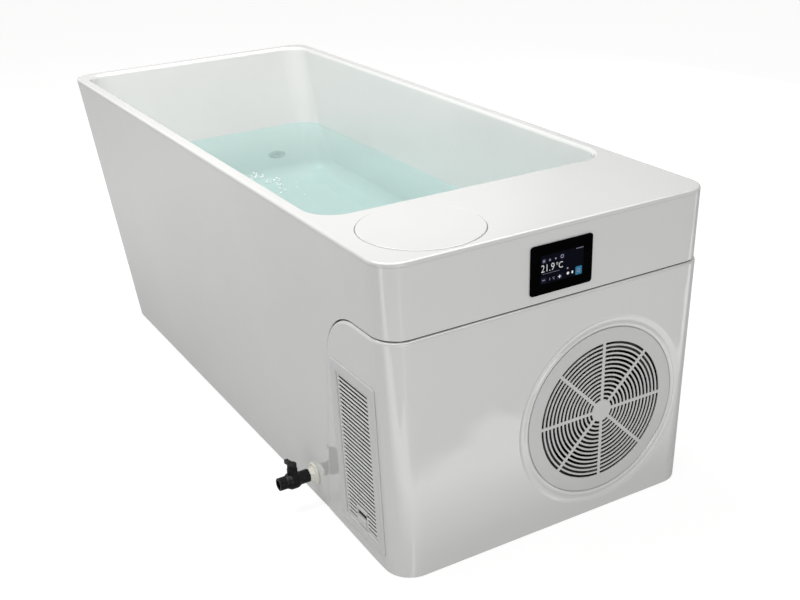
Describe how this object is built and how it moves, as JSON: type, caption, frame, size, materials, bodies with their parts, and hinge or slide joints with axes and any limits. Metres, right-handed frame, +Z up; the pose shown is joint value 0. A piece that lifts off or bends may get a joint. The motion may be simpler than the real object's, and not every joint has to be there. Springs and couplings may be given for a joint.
{
  "type": "cold plunge tub",
  "caption": "White acrylic plunge tub with a leaning head wall, a chiller behind a grille at one end, a round filter lid, a side louvre door, a touch screen and a ball drain valve.",
  "frame": {"origin": "on the floor under the middle of the tub, at the middle of the centre foot's pad", "axes": "+X along the tub to the chiller end, -Y to the side with the louvre and the drain valve, +Z up"},
  "size_m": [1.7008, 0.7735, 0.613],
  "materials": {
    "acrylic": "polished",
    "grey_plastic": "satin",
    "black_plastic": "satin",
    "off_white_plastic": "satin",
    "screen_glass": "polished",
    "rubber": "matte",
    "steel": "brushed",
    "painted_steel": "satin",
    "aluminium": "satin",
    "copper": "satin",
    "foam": "matte",
    "plywood": "matte",
    "filter_paper": "matte",
    "hose_plastic": "satin"
  },
  "bodies": {
    "tub": {"basin_shell": "acrylic", "outer_skirt": "acrylic", "chiller_cover": "acrylic", "floor_board": "plywood", "floor_foam": "foam", "side_foam_near": "foam", "side_foam_far": "foam", "head_foam": "foam", "cross_tube_head": "painted_steel", "cross_tube_centre": "painted_steel", "cross_tube_front": "painted_steel", "rail_near": "painted_steel", "rail_far": "painted_steel", "chiller_tray": "steel", "foot_head_near": "black_plastic", "foot_head_far": "black_plastic", "foot_front_near": "black_plastic", "foot_front_far": "black_plastic", "foot_centre": "black_plastic", "fan_grille": "grey_plastic", "lid_seal": "rubber", "filter_housing": "off_white_plastic", "screen_glass": "screen_glass", "display_module": "black_plastic", "control_box": "grey_plastic", "louvre_frame": "grey_plastic", "bulkhead_fitting": "off_white_plastic", "bulkhead_nut": "off_white_plastic", "valve_body": "black_plastic", "cable_gland": "black_plastic", "return_jet": "off_white_plastic", "suction_fitting": "off_white_plastic", "floor_drain": "steel", "drain_pipe": "hose_plastic", "fan_duct": "steel", "motor_bracket": "steel", "fan_motor": "painted_steel", "condenser": "aluminium", "evaporator": "black_plastic", "compressor": "painted_steel", "compressor_pad": "rubber", "discharge_line": "copper", "suction_line": "copper", "liquid_line": "copper", "pump": "black_plastic", "pump_bracket": "steel", "suction_hose": "hose_plastic", "pump_hose": "hose_plastic", "filter_hose": "hose_plastic", "return_pipe": "hose_plastic"},
    "lid": {"access_lid": "acrylic"},
    "cartridge": {"filter_media": "filter_paper", "filter_top_cap": "off_white_plastic"},
    "door": {"louvre_door": "grey_plastic", "dust_filter": "rubber"},
    "latch": {"door_latch": "grey_plastic"},
    "valve": {"valve_lever": "black_plastic", "valve_ball": "off_white_plastic"},
    "fan": {"fan_rotor": "black_plastic"}
  },
  "joints": [
    {"name": "lid_lift", "type": "slide", "parent": "tub", "child": "lid", "axis": [0, 0, 1], "range_m": [0, 0.4]},
    {"name": "cartridge_lift", "type": "slide", "parent": "tub", "child": "cartridge", "axis": [0, 0, 1], "range_m": [0, 0.3]},
    {"name": "door_swing", "type": "hinge", "parent": "tub", "child": "door", "pos_m": [0.726, -0.34478, 0.34945], "axis": [-1, 0, 0], "range_deg": [0, 90]},
    {"name": "latch_slide", "type": "slide", "parent": "door", "child": "latch", "axis": [0, -0.0294, 0.9996], "range_m": [0, 0.005], "stiffness_N_per_m": 300},
    {"name": "valve_turn", "type": "hinge", "parent": "tub", "child": "valve", "pos_m": [0.522, -0.38251, 0.059], "axis": [0, 0, 1], "range_deg": [0, 90]},
    {"name": "fan_spin", "type": "hinge", "parent": "tub", "child": "fan", "pos_m": [0.8167, 0.113, 0.2166], "axis": [1, 0, 0], "continuous": true}
  ],
  "couplings": [
    {"joint": "cartridge_lift", "follows": "lid_lift", "ratio": 0.75}
  ]
}
